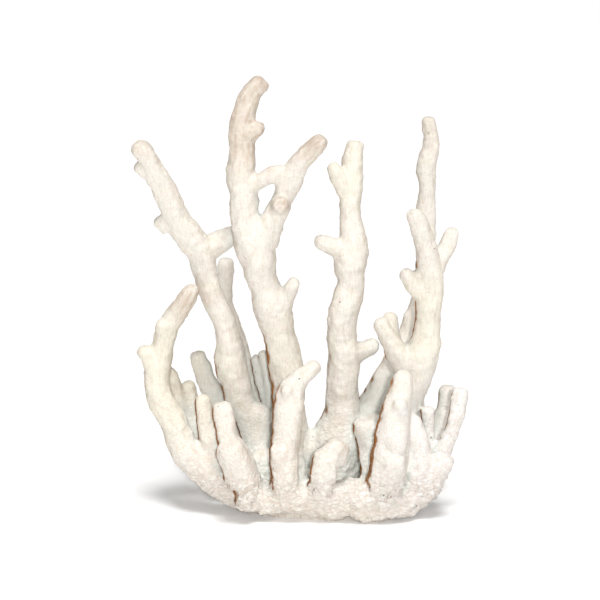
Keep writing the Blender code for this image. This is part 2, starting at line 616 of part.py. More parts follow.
def main():
    for thing in list(bpy.data.objects):
        bpy.data.objects.remove(thing)

    work, pieces, probes = parted(fused_coral())
    work.faces.index_update()

    # A limb's piece is the one nearest to the point inside it past its fork.
    names = {}
    for name in LIMBS:
        nearest = min(range(len(pieces)), key=lambda k: min(
            (vertex.co - probes[name]).length for face in pieces[k] for vertex in face.verts))
        names.setdefault(nearest, name)
    for index, piece in enumerate(pieces):
        name = names.get(index, "clump")
        thing = bpy.data.objects.new(name, piece_mesh(name, piece))
        thing.data.materials.append(coral_material(name + "_coral"))
        bpy.context.scene.collection.objects.link(thing)
    work.free()


main()
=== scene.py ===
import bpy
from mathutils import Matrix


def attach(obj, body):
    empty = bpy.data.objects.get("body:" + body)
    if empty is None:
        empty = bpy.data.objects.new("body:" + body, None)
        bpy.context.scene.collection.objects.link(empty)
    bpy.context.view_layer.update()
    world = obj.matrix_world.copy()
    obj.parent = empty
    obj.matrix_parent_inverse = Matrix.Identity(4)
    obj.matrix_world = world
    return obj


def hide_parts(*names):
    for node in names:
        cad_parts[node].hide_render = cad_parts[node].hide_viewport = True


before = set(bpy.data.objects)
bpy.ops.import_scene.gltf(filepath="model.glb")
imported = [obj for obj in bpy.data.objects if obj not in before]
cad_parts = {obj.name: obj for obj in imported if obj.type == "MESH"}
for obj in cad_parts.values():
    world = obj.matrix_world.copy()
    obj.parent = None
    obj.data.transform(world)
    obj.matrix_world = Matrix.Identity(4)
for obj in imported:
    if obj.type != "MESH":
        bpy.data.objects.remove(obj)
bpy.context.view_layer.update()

import math

import bmesh
import bpy
import numpy as np
from mathutils import Vector
from mathutils.bvhtree import BVHTree

# The camera stands where the photograph was taken from: in front of the coral
# and a little above it, far enough off that the limbs keep their proportions.
# Lengths are in millimetres here, as they are in every section.
MM = 0.001
VIEW_TILT = math.radians(14.0)
VIEW_DISTANCE = 1200.0
AIM = Vector((-1.5, -3.5, 147.0))
FRAME_WIDTH = 420.0
SENSOR_WIDTH = 36.0

eye = AIM - VIEW_DISTANCE * Vector((0.0, math.cos(VIEW_TILT), -math.sin(VIEW_TILT)))
lens = bpy.data.cameras.new("photo_view")
lens.sensor_width = SENSOR_WIDTH
lens.lens = SENSOR_WIDTH * VIEW_DISTANCE / FRAME_WIDTH
camera = bpy.data.objects.new("photo_view", lens)
camera.location = eye * MM
camera.rotation_euler = (math.pi / 2 - VIEW_TILT, 0.0, 0.0)
bpy.context.scene.collection.objects.link(camera)
bpy.context.scene.camera = camera


# The left stem leans out to the left, and a short arm from it passes behind the
# tall stem. It is a lumpy tube of coral limestone that grew out of the clump. A
# limb is drawn as the photograph shows it: how far right, up and back, and its radius.
AIM_UP = 155.4
TIP_BULGE = 0.95
TIP_TURNS = np.radians((20, 38, 54, 68, 80))
ROUND_TIP = 1.0
BLUNT_TIP = 0.4
SWELL = 0.6
STEPS_PER_SPAN = 6
limbs = []


def placed(right, up, back):
    """World place of a point of the photograph's view, and how far off it is as a share."""
    lift = up - AIM_UP
    gaze = Vector((right, VIEW_DISTANCE * math.cos(VIEW_TILT) + lift * math.sin(VIEW_TILT),
                   lift * math.cos(VIEW_TILT) - VIEW_DISTANCE * math.sin(VIEW_TILT)))
    along = (back + VIEW_DISTANCE * math.cos(VIEW_TILT)) / gaze.y
    return eye + along * gaze, along


def limb_path(points):
    """Smooth row of (x, y, z, radius) through a limb's points."""
    world = []
    for right, up, back, radius in points:
        place, along = placed(right, up, back)
        world.append((*place, radius * along + SWELL))
    world = np.array(world)
    world = np.vstack([2 * world[0] - world[1], world, 2 * world[-1] - world[-2]])
    path = []
    for before, start, end, after in zip(world, world[1:], world[2:], world[3:]):
        for t in np.arange(STEPS_PER_SPAN) / STEPS_PER_SPAN:
            path.append(0.5 * (2 * start + (end - before) * t
                               + (2 * before - 5 * start + 4 * end - after) * t ** 2
                               + (3 * start - before - 3 * end + after) * t ** 3))
    path.append(world[-2])
    return np.array(path)


def grow(points, *knobs, tip=ROUND_TIP):
    """Add a limb that ends in a tip, and the knobs and shoots on it."""
    path = limb_path(points)
    end = path[-1]
    way = end[:3] - path[-2][:3]
    way /= np.linalg.norm(way)
    rings = [(*(end[:3] + way * end[3] * TIP_BULGE * math.sin(turn)),
              end[3] * math.cos(turn) ** tip) for turn in TIP_TURNS]
    limbs.append(np.vstack([path, rings]))
    for knob in knobs:
        grow(knob)


grow(((-22, 34, 6, 11.0), (-30, 54, 6, 9.0), (-35, 68, 7, 8.6), (-41.5, 85, 8, 9.6),
      (-45, 98, 8, 10.2), (-48.5, 111, 9, 11.2), (-50, 127, 9, 9.0), (-53, 140, 9, 7.6),
      (-59, 153, 9, 7.9), (-64, 166, 8, 7.7), (-67, 178, 8, 8.4), (-70, 189, 8, 9.8),
      (-77, 199, 6, 9.8), (-85, 210, 3, 9.2), (-90, 220, 0, 8.2), (-95, 232, -3, 8.2),
      (-101, 244, -7, 7.7), (-106, 253, -10, 6.6), (-111, 261, -12, 7.0)),
     ((-105, 244, -6, 4.6), (-113, 248, -9, 4.0)),
     ((-92, 207, 4, 6.0), (-97, 210, 2, 4.8)),
     ((-52, 138, 12, 6.0), (-53, 148, 21, 4.8)),
     ((-88, 214, 4, 6.0), (-88, 220, 13, 4.4)))
grow(((-68, 189, 9, 8.6), (-57, 195, 14, 7.8), (-50, 199.5, 20, 6.8), (-44, 202, 27, 5.6)))


# The tall stem is the highest limb, solid limestone like the rest. Its right branch
# forks off halfway up, and a short bridge has grown between the two higher up, with
# a small window below it.
grow(((2, 36, 2, 13.0), (-4, 57, 1, 11.6), (-7.5, 78, 0, 11.0), (-8.5, 96, 0, 11.6),
      (-10.5, 110, 0, 12.2), (-12.5, 122, 0, 11.5), (-15, 131, 0, 11.1), (-17.5, 143, 0, 12.3),
      (-20.5, 153, 0, 12.6), (-24, 162, 0, 10.5), (-27.5, 173, 0, 11.0), (-29.5, 185, 0, 12.8),
      (-34, 199, 0, 12.8), (-38.8, 215, 0, 9.4), (-39.4, 229, 0, 9.8), (-41, 243, 1, 10.0),
      (-41, 260, 2, 8.5), (-41, 276, 4, 8.5), (-39, 287, 5, 7.5), (-35.5, 297, 6, 7.2),
      (-29.5, 305.5, 7, 6.3)),
     ((-35, 273, 2, 6.8), (-29, 275.5, 0, 4.6)),
     ((-31, 303, 7, 5.6), (-25.5, 305, 7, 4.2)),
     ((-13, 149, 0, 7.0), (-7.5, 161, -4, 5.0), (-4.5, 167, -6, 4.2)),
     ((-30, 185, 4, 7.0), (-29, 192, 16, 5.4)),
     ((-41, 258, 5, 6.0), (-40.5, 264, 13, 4.6)))
grow(((-38, 235, 0, 7.0), (-27, 239.5, -4, 5.4), (-19, 243.5, -6, 5.6), (-14.5, 245.5, -6, 4.9)))
grow(((-25.5, 197, -1, 10.4), (-20.5, 208, -2, 8.4), (-16.5, 217, -3, 7.4), (-12, 226, -4, 7.4),
      (-7.5, 238, -5, 8.2), (-2, 248, -7, 7.3), (4.5, 256.5, -9, 6.5), (13, 265.5, -11, 6.1)))
grow(((-14, 221, -5, 6.8), (-14, 222, -18, 6.0)), tip=BLUNT_TIP)


# The centre stem stands upright on the thickest part of the clump, and three stubby
# knobs grow from its sides. It widens into the clump without a joint.
grow(((24, 36, 4, 21.0), (26.5, 57, 4, 18.5), (29, 71, 4, 14.2), (29.6, 80, 4, 12.0),
      (29.5, 89, 4, 11.0), (30, 103, 4, 11.1), (31, 117, 4, 10.8), (29, 127, 4, 9.7),
      (29, 138, 4, 9.8),
      (31, 148, 4, 10.2), (34, 159, 5, 10.0), (36, 169, 6, 9.1), (35, 180, 7, 11.2),
      (37, 190, 8, 10.2), (37, 201, 9, 9.1), (35.3, 213, 10, 7.4), (35, 225, 11, 6.9),
      (36, 234, 12, 7.4), (36.5, 246, 14, 7.0), (37, 255, 15, 6.8), (38, 261, 16, 6.0)),
     ((32, 232, 11, 6.3), (26, 243.5, 8, 5.1), (23.5, 247.5, 7, 4.1)),
     ((32, 189, 8, 7.0), (22, 193, 5, 6.3), (15, 196.5, 3, 5.0)),
     ((34, 119, 4, 7.7), (43, 120, 8, 6.8), (50.5, 123.5, 12, 5.3)),
     ((30, 108, 8, 7.5), (30, 119, 20, 5.5)),
     ((36, 200, 12, 6.5), (36, 209, 21, 4.8)), tip=BLUNT_TIP)


# The right stem curves in at its top. It carries a short arm on its outside and a
# low branch with two tips on its inside, all of the same grown limestone.
grow(((62, 50, -4, 12.6), (71, 75, -6, 12.2), (76, 92, -7, 12.0), (82, 108, -8, 12.4),
      (87.5, 124, -8, 10.8), (89, 138, -8, 8.8), (90, 152, -8, 9.1), (91, 162, -8, 9.1),
      (91, 173, -9, 9.2), (89.5, 182, -11, 8.4), (88, 192, -14, 7.2), (85.5, 201, -17, 7.0),
      (82.5, 210, -20, 6.4), (80.3, 214, -22, 5.8)),
     ((85, 162, -9, 7.0), (79, 168, -12, 6.3), (74.5, 173.5, -14, 4.8)),
     ((89, 140, -4, 6.5), (89, 150, 8, 5.2)))
grow(((95, 178, -7, 7.0), (100, 187, -4, 6.0), (104.5, 196, -2, 5.6), (106, 201.5, -1, 5.3)))
grow(((78, 106, -8, 10.5), (70, 115, -9, 9.1), (64, 125, -12, 6.7), (59, 134, -15, 5.8),
      (57, 138, -16, 5.4)),
     ((65, 125, -9, 5.6), (64, 134, -2, 5.1), (63, 142, 2, 4.9)))


# Two thinner stems stand behind the others. The right one rises almost as high as
# the centre stem, and the left one ends low between the left and the tall stem.
grow(((32, 40, 14, 14.0), (41, 64, 20, 12.6), (52, 85, 24, 9.8), (60, 101, 27, 8.4),
      (67.5, 115, 30, 8.0), (75, 130, 33, 7.0), (80.5, 145, 37, 6.8), (86, 160, 41, 6.8),
      (88, 183, 46, 6.6), (88, 201, 49, 6.3), (88, 220, 52, 6.3), (89, 232, 53, 5.6),
      (88.5, 248, 54, 6.9), (91.5, 264, 55, 5.6), (89.8, 279, 55, 4.6)),
     ((62, 104, 30, 6.0), (63, 112, 41, 4.6)),
     ((88, 196, 52, 5.2), (88, 203, 62, 4.2)), tip=BLUNT_TIP)
grow(((-14, 36, 20, 9.8), (-27, 57, 30, 8.2), (-35, 85, 38, 7.0), (-40, 106, 41, 7.0),
      (-43, 122, 42, 6.6), (-48.5, 140, 42, 6.0), (-52.5, 155, 42, 5.2), (-53, 166, 41, 5.4),
      (-52, 180, 40, 5.4)),
     ((-42, 116, 44, 5.0), (-43, 122, 52, 4.0)), tip=BLUNT_TIP)


# The front fingers curl up around the foot like the rim of a bowl. They are short,
# stout and knobbly, and some have a nub or a flat ledge that faces the viewer.
grow(((-31, 17, -28, 11.9), (-50, 25, -28, 11.6), (-67, 37, -26, 11.2), (-80, 49, -22, 10.6),
      (-86.5, 66, -17, 9.3), (-97, 84, -13, 9.2), (-100, 98, -10, 8.6), (-99, 110, -8, 8.7),
      (-95.7, 124, -8, 7.6), (-92.5, 137, -9, 7.2), (-86.5, 146, -11, 7.2), (-80, 155.5, -13, 6.2),
      (-76, 161.5, -14, 5.2)),
     ((-103, 116, -9, 5.6), (-108, 119, -11, 5.4)),
     ((-103, 108, -9, 5.6), (-105.5, 114, -10, 5.0)),
     ((-95, 135, -10, 6.4), (-95.5, 138, -13, 5.0)))
grow(((-43, 22, -28, 8.4), (-56, 40, -26, 7.0), (-63, 57, -22, 6.8), (-66, 71, -19, 6.2),
      (-68, 84, -16, 5.2)))
grow(((-30, 14, -38, 9.4), (-35, 22, -42, 10.4), (-40, 33, -43, 11.2), (-45.5, 47, -43, 10.6),
      (-50.5, 58, -42, 7.9), (-52, 67, -40, 7.4), (-54, 76.5, -38, 7.4)),
     ((-38, 14, -42, 8.0), (-38, 18, -50, 7.0)), tip=BLUNT_TIP)
grow(((-40, 28, -46, 11.2), (-47.5, 47, -50.5, 10.6)), tip=BLUNT_TIP)
grow(((-6, 14, -38, 9.1), (-9, 21, -43, 10.2), (-11, 33, -46, 10.0), (-11, 50, -45, 9.8),
      (-9.5, 64, -44, 10.3), (-8, 78, -42, 10.6), (-6, 92, -40, 8.7), (1.5, 101.5, -37, 6.5),
      (9.5, 108, -34, 5.1)),
     ((-12, 42, -46, 7.0), (-14.5, 48, -52, 6.0)),
     ((-7, 90, -42, 5.0), (-9, 92, -48, 3.5)),
     ((0, 30, -38, 5.6), (-1.5, 47, -38, 4.4), (-2, 61, -38, 4.3)))
grow(((15, 13, -42, 9.1), (15, 24, -47, 9.3), (16.5, 35, -48, 9.6), (18.5, 43, -48, 9.2),
      (24.5, 51.5, -47, 6.4)),
     ((16, 36, -48, 6.8), (16, 42, -52, 5.6)),
     ((25, 42, -46, 6.0), (29.5, 50.5, -45, 4.8)), tip=BLUNT_TIP)
grow(((50, 18, -31, 8.0), (49.5, 36, -26, 7.0), (48, 50, -23, 7.5), (46.5, 60, -22, 8.4),
      (46, 64, -22, 8.4)), tip=BLUNT_TIP)
grow(((56, 14, -42, 11.5), (58.5, 27, -46, 12.6), (62, 40, -47, 12.9), (64, 54, -46, 12.6),
      (66.5, 74, -43, 10.6), (70, 89, -40, 8.4), (71.5, 100.5, -38, 6.3)),
     ((69, 82, -42, 6.0), (69.5, 81.5, -49.5, 5.0)),
     ((64, 57, -46, 9.5), (67, 55.5, -54, 7.8)),
     ((64, 43, -48, 9.5), (65, 42, -55, 8.4)))
grow(((76, 14, -36, 9.0), (80, 24, -38, 8.6), (83.5, 40, -38, 8.4), (83, 55, -37, 7.8),
      (79.5, 66, -37, 6.6), (76.5, 73, -37, 5.0)))
grow(((84, 36, -24, 6.0), (89.5, 50, -20, 5.0), (90, 64, -18, 4.6), (89.5, 76, -18, 4.4)),
     tip=BLUNT_TIP)
grow(((88, 28, -27, 8.4), (100, 50, -24, 6.0), (106.3, 64, -22, 5.2), (110.5, 78, -20, 5.9),
      (112, 88.5, -18, 5.5)), tip=BLUNT_TIP)
grow(((68, 16, -34, 9.5), (78, 17.5, -36, 9.0), (86.5, 23, -37, 8.6), (93.5, 31, -38, 8.2),
      (99.5, 41, -39, 7.8)), tip=BLUNT_TIP)


# The fingers behind stand between the front ones and the stems. They are shorter
# and mostly in the shade, so the coral is greyer on them.
grow(((-31, 36, 12, 10.0), (-44, 57, 21, 8.6), (-55, 78, 27, 7.4), (-62, 93, 29, 6.5),
      (-67, 103, 30, 6.5), (-70.5, 113.5, 30, 6.2)), tip=BLUNT_TIP)
grow(((-49, 33, -4, 8.4), (-63, 50, 0, 7.7), (-72.5, 68, 4, 7.0), (-77, 82, 6, 6.5),
      (-78, 94, 7, 5.3)))
grow(((-16, 57, 17, 6.0), (-23, 85, 23, 4.6), (-28, 99, 25, 4.0), (-31, 114, 26, 3.5)))
grow(((-18, 70, 20, 5.0), (-22, 98, 21, 3.8), (-25.5, 117, 22, 3.1)))
grow(((84, 40, 0, 7.7), (96, 63, 8, 6.3), (101, 78, 12, 5.6), (103, 89.5, 14, 6.2)), tip=BLUNT_TIP)
grow(((-78, 60, 4, 9.5), (-83, 74, 4, 9.0), (-86, 86, 1, 7.0), (-89, 96, -2, 5.2),
      (-90.5, 104, -4, 3.6)))


# The rear fingers close the ring at the back, which the photograph doesn't show.
# They are stout and knobbly like the front ones.
grow(((-34, 38, 32, 10.0), (-50, 50, 42, 8.8), (-60, 63, 46, 7.6), (-64, 74, 48, 6.8),
      (-63, 83, 50, 5.2)),
     ((-59, 60, 44, 6.5), (-56, 64, 53, 5.0)))
grow(((-16, 40, 38, 10.5), (-26, 58, 52, 8.0), (-29, 76, 58, 7.0), (-31, 90, 60, 6.4),
      (-26, 101, 61, 5.2)))
grow(((-4, 42, 40, 10.5), (-6, 66, 50, 9.2), (-9, 86, 52, 8.4), (-7, 104, 56, 7.2),
      (-10, 116, 57, 5.8)),
     ((-8, 92, 54, 6.2), (-13, 98, 61, 4.6)))
grow(((30, 44, 36, 11.5), (33, 74, 47, 9.8), (30, 96, 50, 9.4), (29, 116, 54, 7.2),
      (34, 130, 57, 5.8)),
     ((31, 86, 50, 7.0), (36, 92, 58, 5.2)))
grow(((46, 38, 34, 10.5), (54, 56, 47, 9.6), (57, 70, 50, 8.2), (54, 82, 53, 6.4)))
grow(((60, 34, 24, 10.5), (72, 52, 36, 9.4), (77, 70, 42, 7.8), (79, 84, 44, 7.2),
      (76, 94, 46, 5.6)),
     ((77, 74, 42, 6.2), (83, 79, 47, 4.8)))
grow(((72, 30, 10, 10.0), (90, 42, 20, 8.4), (97, 54, 25, 6.6)))
grow(((15, 30, 42, 9.4), (16, 40, 54, 8.2), (14, 48, 59, 7.4), (13, 56, 61, 5.8)))


# The clump is the old coral at the foot that every limb grew from: a low mound, a
# lumpy rim at the front and the back, and rounded lumps in its heart. Here the limbs
# become tubes that follow their paths, each tapering as its radius says.
CLUMP_MIDDLE = (14.0, 2.0)
CLUMP_SPREAD = Vector((66.0, 46.0, 17.0))
MOUND_DETAIL = 4
TUBE_SIDES = 24

grow(((-48, 24, -18, 9.0), (-38, 18, -28, 10.0), (-28, 15.5, -31, 8.5), (-15, 14, -33, 10.5),
      (-5, 14.5, -33, 8.5), (4, 13.5, -34, 10.5), (12, 14.5, -36, 8.5), (23, 11, -40, 10.8),
      (33, 14, -38, 9.5), (43, 12, -41, 12.0), (54, 13, -42, 12.6), (64, 14, -41, 11.5),
      (74, 15, -38, 11.0), (84, 19, -29, 9.0), (91, 26, -18, 8.5)))
grow(((-44, 26, 8, 9.0), (-34, 30, 23, 10.0), (-20, 31, 35, 9.0), (-4, 33, 41, 11.0),
      (10, 31, 44, 9.5), (24, 33, 44, 11.5), (38, 32, 42, 9.5), (54, 31, 37, 11.0),
      (68, 29, 28, 9.5), (80, 28, 14, 10.0), (88, 25, 0, 9.0)))
grow(((24, 20, 4, 24.0), (22, 50, 6, 20.0)))
grow(((-8, 20, 6, 18.0), (-2, 48, 6, 15.0)))
grow(((50, 20, 6, 20.0), (44, 46, 8, 15.0)))
grow(((-10, 24, 26, 16.0), (-4, 44, 30, 12.0)))
grow(((24, 26, 30, 18.0), (22, 46, 32, 13.0)))
grow(((52, 24, 24, 16.0), (46, 42, 26, 12.0)))
grow(((-27, 18, -17, 12.0), (-26, 41, -11, 11.0)))
grow(((52, 40, 0, 13.0), (50, 66, 1, 10.5)))
grow(((-28, 17, -39, 12.0), (-22, 17, -39, 11.5)))
grow(((-30, 46, 5, 11.5), (-29, 75, 7, 9.5)))
grow(((10, 46, 4, 10.0), (10.5, 57.5, 3, 8.0)))
grow(((-3, 18, -40, 11.5), (5, 19, -41, 11.0)))
grow(((18, 16, -40, 11.0), (27, 17, -42, 11.5), (36, 18, -43, 12.0), (48, 17, -44, 12.5)))


class Wire:
    """A socket in a node tree. Arithmetic on it adds Math nodes."""

    def __init__(self, tree, socket=None):
        self.tree = tree
        self.socket = socket

    def node(self, kind, inputs=None, settings=None):
        """Add a node: its settings come first, then its inputs by name or number."""
        node = self.tree.nodes.new(kind)
        for setting, value in (settings or {}).items():
            setattr(node, setting, value)
        for key, value in (inputs or {}).items():
            if isinstance(value, Wire):
                self.tree.links.new(value.socket, node.inputs[key])
            else:
                node.inputs[key].default_value = value
        return node

    def out(self, node, key=0):
        """An output of a node, by name or number."""
        return Wire(self.tree, node.outputs[key])

    def made(self, kind, inputs=None, settings=None, key=0):
        """An output of a new node."""
        return self.out(self.node(kind, inputs, settings), key)

    def math(self, operation, *values):
        return self.made("ShaderNodeMath", dict(enumerate(values)), {"operation": operation})

    def vector(self, operation, *values, key=0):
        """A Vector Math node. A number in place of the last vector is a scale."""
        node = self.node("ShaderNodeVectorMath", None, {"operation": operation})
        places = (0, 3) if operation == "SCALE" else range(len(values))
        for place, value in zip(places, values):
            if isinstance(value, Wire):
                self.tree.links.new(value.socket, node.inputs[place])
            else:
                node.inputs[place].default_value = value
        return self.out(node, key)

    def step(self, low, high):
        """0 below low, 1 above high, smooth between them. It falls if high is the lower."""
        return self.made("ShaderNodeMapRange", {"Value": self, "From Min": low, "From Max": high},
                         {"interpolation_type": "SMOOTHSTEP"})

    def __add__(self, other): return self.math("ADD", self, other)
    def __radd__(self, other): return self.math("ADD", other, self)
    def __sub__(self, other): return self.math("SUBTRACT", self, other)
    def __rsub__(self, other): return self.math("SUBTRACT", other, self)
    def __mul__(self, other): return self.math("MULTIPLY", self, other)
    def __rmul__(self, other): return self.math("MULTIPLY", other, self)
    def __truediv__(self, other): return self.math("DIVIDE", self, other)
    def __rtruediv__(self, other): return self.math("DIVIDE", other, self)


def geometry_tree(name, sizes):
    """A Geometry Nodes tree with a geometry going in and out, and named sizes."""
    tree = bpy.data.node_groups.new(name, "GeometryNodeTree")
    tree.interface.new_socket("Geometry", in_out="INPUT", socket_type="NodeSocketGeometry")
    for label, kind in sizes.items():
        tree.interface.new_socket(label, in_out="INPUT", socket_type="NodeSocket" + kind)
    tree.interface.new_socket("Geometry", in_out="OUTPUT", socket_type="NodeSocketGeometry")
    start = tree.nodes.new("NodeGroupInput")
    return Wire(tree), {socket.name: Wire(tree, socket) for socket in start.outputs if socket.name}


def finish_tree(wire, geometry):
    """End a tree in Realize Instances and Set Material."""
    whole = wire.made("GeometryNodeRealizeInstances", {"Geometry": geometry})
    coated = wire.made("GeometryNodeSetMaterial", {"Geometry": whole, "Material": coral})
    end = wire.tree.nodes.new("NodeGroupOutput")
    wire.tree.links.new(coated.socket, end.inputs[0])


def add_tree(thing, wire, values):
    """Put a tree on an object, with its inputs set."""
    modifier = thing.modifiers.new(wire.tree.name, "NODES")
    modifier.node_group = wire.tree
    for socket in wire.tree.interface.items_tree:
        if socket.in_out == "INPUT" and socket.name in values:
            modifier[socket.identifier] = values[socket.name]


def baked(thing):
    """The object's mesh with its modifiers applied. The object is removed."""
    mesh = bpy.data.meshes.new_from_object(
        thing.evaluated_get(bpy.context.evaluated_depsgraph_get()))
    bpy.data.objects.remove(thing)
    return mesh


coral = bpy.data.materials.new("coral_skeleton")

wire, given = geometry_tree("limb_tube", {"Sides": "Int"})
ring = wire.made("GeometryNodeCurvePrimitiveCircle", {
    "Resolution": given["Sides"], "Radius": 1.0})
limb_radius = wire.made("GeometryNodeInputRadius")
tube = wire.made("GeometryNodeCurveToMesh", {
    "Curve": given["Geometry"], "Profile Curve": ring, "Scale": limb_radius, "Fill Caps": True})
finish_tree(wire, tube)

paths = bpy.data.curves.new("limb_paths", "CURVE")
paths.dimensions = "3D"
paths.twist_mode = "MINIMUM"
for path in limbs:
    spline = paths.splines.new("POLY")
    spline.points.add(len(path) - 1)
    for point, (x, y, z, radius) in zip(spline.points, path * MM):
        point.co = (x, y, z, 1.0)
        point.radius = radius
limb_paths = bpy.data.objects.new("limb_paths", paths)
bpy.context.scene.collection.objects.link(limb_paths)
tubes = limb_paths.copy()
bpy.context.scene.collection.objects.link(tubes)
add_tree(tubes, wire, {"Sides": TUBE_SIDES})
mesh = baked(tubes)

work = bmesh.new()
work.from_mesh(mesh)
mound, _ = placed(CLUMP_MIDDLE[0], 0.0, CLUMP_MIDDLE[1])
mound.z = 0.0
for vertex in bmesh.ops.create_icosphere(work, subdivisions=MOUND_DETAIL, radius=1.0)["verts"]:
    vertex.co = (mound + vertex.co * CLUMP_SPREAD) * MM
work.to_mesh(mesh)
work.free()


# All limbs and the clump grew as one limestone skeleton, so they are fused here. Its
# skin has the lumps of the solid model, then finer lumps, ridges along each limb, nubs,
# creases and pits, and a rough crust at the foot. It records where coral is sheltered.
GRAIN = 1.15
SMOOTHING_ROUNDS = 5
LUMP_SIZE = 13.0
LUMP_RISE = 2.4
SKIN = {
    "Fine Lump Size": 5.5, "Fine Lump Height": 0.4,
    "Ridge Width": 2.4, "Ridge Length": 20.0, "Ridge Height": 0.28,
    "Nub Spacing": 14.0, "Nub Width": 3.4, "Nub Height": 0.7,
    "Pit Spacing": 30.0, "Pit Width": 0.8, "Pit Depth": 0.8,
    "Crust Height": 2.6, "Crust Top": 38.0,
    "Pillow Size": 9.0, "Pillow Height": 0.8,
    "Near Reach": 9.0, "Far Reach": 90.0, "Shadow Line Reach": 54.0,
    "Shadow Line Bottom": 112.0, "Shadow Line Top": 140.0,
}
SEED = 4
LIMB_SHIFT = 7.3
SPOT_DENSITY = 3e4
SMALLEST_SPOT = 0.45
CRUST_FADE = (0.6, 1.2)
CRUST_FINENESS = 1.6
CRUST_HOLLOWS = 1.5
PILLOW_SQUASH = (1.0, 1.0, 1.6)
PILLOW_RIM = 0.4
PILLOWS_ON_LIMBS = 0.4
WARP_FINENESS = 0.7
WARP_REACH = 0.7
RAY_START = 0.5
RAY_TILTS = (18.0, 42.0, 66.0)
RAYS_PER_TILT = 6
RAY_TWIST = 50.0
SHELTER_BLUR = 3
SHADOW_LINE_RAYS = [(math.radians(turn), math.radians(tilt)) for turn in (55, 72, 88) for tilt in (-12, 10)]
LEFT = Vector((-0.99, 0.1, 0.0))
LEFT_FADE = (0.76, 0.92)
REAR = (0.0, 1.0, 0.0)
REAR_FADE = (-0.05, 0.22)

skeleton = bpy.data.objects.new("skeleton", mesh)
bpy.context.scene.collection.objects.link(skeleton)
fuse = skeleton.modifiers.new("fuse", "REMESH")
fuse.mode = "VOXEL"
fuse.voxel_size = GRAIN * MM
soften = skeleton.modifiers.new("soften", "SMOOTH")
soften.iterations = SMOOTHING_ROUNDS
lumps = bpy.data.textures.new("lumps", "CLOUDS")
lumps.noise_scale = LUMP_SIZE * MM
lumps.noise_depth = 1
swell = skeleton.modifiers.new("lumps", "DISPLACE")
swell.texture = lumps
swell.texture_coords = "LOCAL"
swell.strength = LUMP_RISE * MM
swell.mid_level = 0.5

wire, given = geometry_tree("coral_skin", {"Limb Paths": "Object", "Seed": "Int"}
                            | {label: "Float" for label in SKIN})
place = wire.made("GeometryNodeInputPosition")
facing = wire.made("GeometryNodeInputNormal")

# Each place on the skin knows the nearest limb's middle line: how far along it the
# place is, and where it is across it. The ridges are noise stretched along that line.
line = wire.made("GeometryNodeObjectInfo", {"Object": given["Limb Paths"]}, key="Geometry")
length = wire.made("GeometryNodeSplineParameter", key="Length")
line = wire.made("GeometryNodeStoreNamedAttribute", {
    "Geometry": line, "Name": "along", "Value": length})
limb_number = wire.made("GeometryNodeInputIndex")
line = wire.made("GeometryNodeStoreNamedAttribute", {
    "Geometry": line, "Name": "limb", "Value": limb_number}, {"domain": "CURVE"})
stations = wire.node("GeometryNodeCurveToPoints", {"Curve": line}, {"mode": "EVALUATED"})
stops = wire.out(stations, "Points")
nearest = wire.made("GeometryNodeSampleNearest", {
    "Geometry": stops, "Sample Position": place})


def at_station(value, kind):
    """A value of the nearest station on the limbs' middle lines."""
    return wire.made("GeometryNodeSampleIndex", {
        "Geometry": stops, "Value": value, "Index": nearest}, {"data_type": kind})


def stored(name):
    """A named value that the geometry carries."""
    return wire.made("GeometryNodeInputNamedAttribute", {"Name": name})


run = at_station(wire.out(stations, "Tangent"), "FLOAT_VECTOR")
offset = wire.vector("SUBTRACT", place, at_station(place, "FLOAT_VECTOR"))
ahead = wire.vector("DOT_PRODUCT", offset, run, key="Value")
across = wire.vector("SUBTRACT", offset, wire.vector("SCALE", run, ahead))
along = (at_station(stored("along"), "FLOAT") + ahead) / given["Ridge Length"]
along += at_station(stored("limb"), "FLOAT") * LIMB_SHIFT
streak = wire.made("ShaderNodeTexNoise", {
    "Vector": wire.vector("SCALE", across, 1.0 / given["Ridge Width"]), "W": along,
    "Scale": 1.0, "Detail": 2.0}, {"noise_dimensions": "4D"}) - 0.5

fine = wire.made("ShaderNodeTexNoise", {
    "Vector": place, "Scale": 1.0 / given["Fine Lump Size"], "Detail": 1.5}) - 0.5


def spotted(spacing, width, seed):
    """1 in the middle of scattered round spots, falling to 0 at their rims."""
    spots = wire.made("GeometryNodeDistributePointsOnFaces", {
        "Mesh": given["Geometry"], "Distance Min": given[spacing], "Density Max": SPOT_DENSITY,
        "Seed": given["Seed"] + seed}, {"distribute_method": "POISSON"})
    spot = wire.made("GeometryNodeSampleNearest", {
        "Geometry": spots, "Sample Position": place})
    there = wire.made("GeometryNodeSampleIndex", {
        "Geometry": spots, "Value": place, "Index": spot}, {"data_type": "FLOAT_VECTOR"})
    share = wire.made("FunctionNodeRandomValue", {
        "Min": SMALLEST_SPOT, "Max": 1.0, "ID": spot, "Seed": seed}, key=1)
    away = wire.vector("DISTANCE", place, there, key="Value") / (given[width] * share)
    return wire.math("MAXIMUM", 1.0 - away * away, 0.0), share


